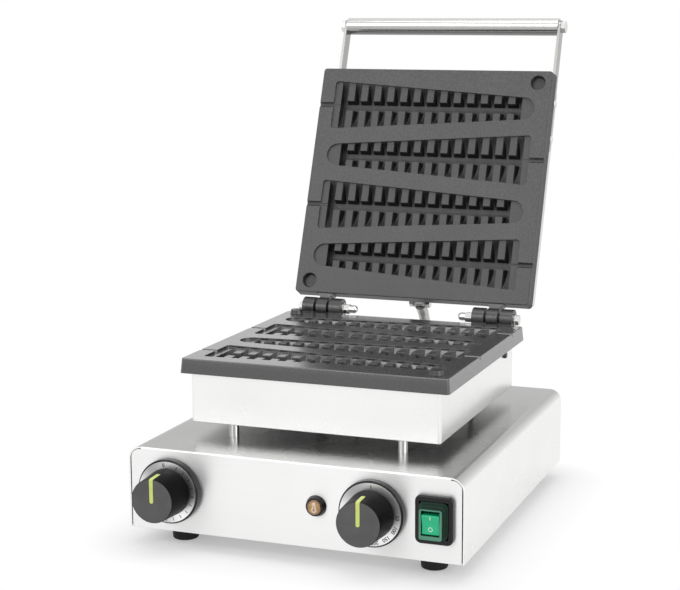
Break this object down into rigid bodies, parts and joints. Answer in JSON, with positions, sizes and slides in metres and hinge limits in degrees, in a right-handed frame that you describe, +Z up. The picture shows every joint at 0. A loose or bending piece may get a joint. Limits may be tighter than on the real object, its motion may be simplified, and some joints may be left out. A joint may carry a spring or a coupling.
{
  "type": "lollipop waffle maker",
  "caption": "Countertop waffle baker with hinged lid, tree-shaped stick-waffle moulds, bar handle, timer and thermostat knobs, pilot lamp and rocker switch.",
  "frame": {"origin": "on the table, under the middle of the box round the whole object with its lid open", "axes": "+Z up, -Y out of the front panel towards the user, +X to the user's right"},
  "size_m": [0.271, 0.4345, 0.4029],
  "materials": {
    "base_cover": "brushed",
    "front_panel": "brushed",
    "rear_panel": "brushed",
    "bottom_plate": "brushed",
    "rear_screws": "satin",
    "feet": "matt",
    "foot_screws": "satin",
    "cord_gland": "matt",
    "cord_gland_nut": "matt",
    "posts": "polished",
    "post_nuts": "satin",
    "wire_tube": "polished",
    "heater_box": "satin",
    "box_screws": "blackened",
    "lower_plate": "black non-stick coat",
    "lower_lugs": "black non-stick coat",
    "locating_pins": "black non-stick coat",
    "lower_element": "oxidised",
    "lower_insulation": "felted",
    "timer_bezel": "gloss",
    "thermostat_bezel": "gloss",
    "timer_scale": "satin",
    "thermostat_scale": "satin",
    "timer_body": "matt",
    "thermostat_body": "satin",
    "lamp_bezel": "gloss",
    "lamp_lens": "translucent",
    "lamp_body": "matt",
    "switch_frame": "gloss",
    "switch_boot": "matt",
    "switch_body": "matt",
    "terminal_block": "matt",
    "wire_hose": "satin",
    "hose_gland": "nickel plated",
    "hinge_bolts": "plated",
    "hinge_nuts": "polished",
    "hinge_washers": "satin",
    "hinge_spacers": "satin",
    "upper_plate": "black non-stick coat",
    "upper_knuckles": "black non-stick coat",
    "upper_cover": "satin",
    "upper_element": "oxidised",
    "upper_insulation": "felted",
    "handle_arms": "satin",
    "handle_bar": "polished",
    "bar_bolts": "plated",
    "arm_screws": "satin",
    "arm_nuts": "satin",
    "cover_screws": "blackened",
    "hose_bracket": "satin",
    "bracket_screws": "satin",
    "hose_barrel": "satin",
    "timer_knob": "satin",
    "timer_pointer": "satin",
    "timer_spindle": "satin",
    "thermostat_knob": "satin",
    "thermostat_pointer": "satin",
    "thermostat_spindle": "satin",
    "rocker": "gloss"
  },
  "bodies": {
    "base": {"base_cover": "base_cover", "front_panel": "front_panel", "rear_panel": "rear_panel", "bottom_plate": "bottom_plate", "rear_screws": "rear_screws", "feet": "feet", "foot_screws": "foot_screws", "cord_gland": "cord_gland", "cord_gland_nut": "cord_gland_nut", "posts": "posts", "post_nuts": "post_nuts", "wire_tube": "wire_tube", "heater_box": "heater_box", "box_screws": "box_screws", "lower_plate": "lower_plate", "lower_lugs": "lower_lugs", "locating_pins": "locating_pins", "lower_element": "lower_element", "lower_insulation": "lower_insulation", "timer_bezel": "timer_bezel", "thermostat_bezel": "thermostat_bezel", "timer_scale": "timer_scale", "thermostat_scale": "thermostat_scale", "timer_body": "timer_body", "thermostat_body": "thermostat_body", "lamp_bezel": "lamp_bezel", "lamp_lens": "lamp_lens", "lamp_body": "lamp_body", "switch_frame": "switch_frame", "switch_boot": "switch_boot", "switch_body": "switch_body", "terminal_block": "terminal_block", "wire_hose": "wire_hose", "hose_gland": "hose_gland", "hinge_bolts": "hinge_bolts", "hinge_nuts": "hinge_nuts", "hinge_washers": "hinge_washers", "hinge_spacers": "hinge_spacers"},
    "lid": {"upper_plate": "upper_plate", "upper_knuckles": "upper_knuckles", "upper_cover": "upper_cover", "upper_element": "upper_element", "upper_insulation": "upper_insulation", "handle_arms": "handle_arms", "handle_bar": "handle_bar", "bar_bolts": "bar_bolts", "arm_screws": "arm_screws", "arm_nuts": "arm_nuts", "cover_screws": "cover_screws", "hose_bracket": "hose_bracket", "bracket_screws": "bracket_screws", "hose_barrel": "hose_barrel"},
    "timer": {"timer_knob": "timer_knob", "timer_pointer": "timer_pointer", "timer_spindle": "timer_spindle"},
    "thermostat": {"thermostat_knob": "thermostat_knob", "thermostat_pointer": "thermostat_pointer", "thermostat_spindle": "thermostat_spindle"},
    "rocker_switch": {"rocker": "rocker"}
  },
  "joints": [
    {"name": "lid_hinge", "type": "hinge", "parent": "base", "child": "lid", "pos_m": [0, 0.08204, 0.1441], "axis": [1, 0, 0], "range_deg": [0, 111]},
    {"name": "timer_turn", "type": "hinge", "parent": "base", "child": "timer", "pos_m": [-0.0998, -0.18496, 0.0473], "axis": [0, 1, 0], "range_deg": [0, 270]},
    {"name": "thermostat_turn", "type": "hinge", "parent": "base", "child": "thermostat", "pos_m": [0.0654, -0.18496, 0.0473], "axis": [0, 1, 0], "range_deg": [0, 300]},
    {"name": "rocker_tilt", "type": "hinge", "parent": "base", "child": "rocker_switch", "pos_m": [0.1135, -0.18296, 0.0473], "axis": [-1, 0, 0], "range_deg": [0, 12]}
  ]
}
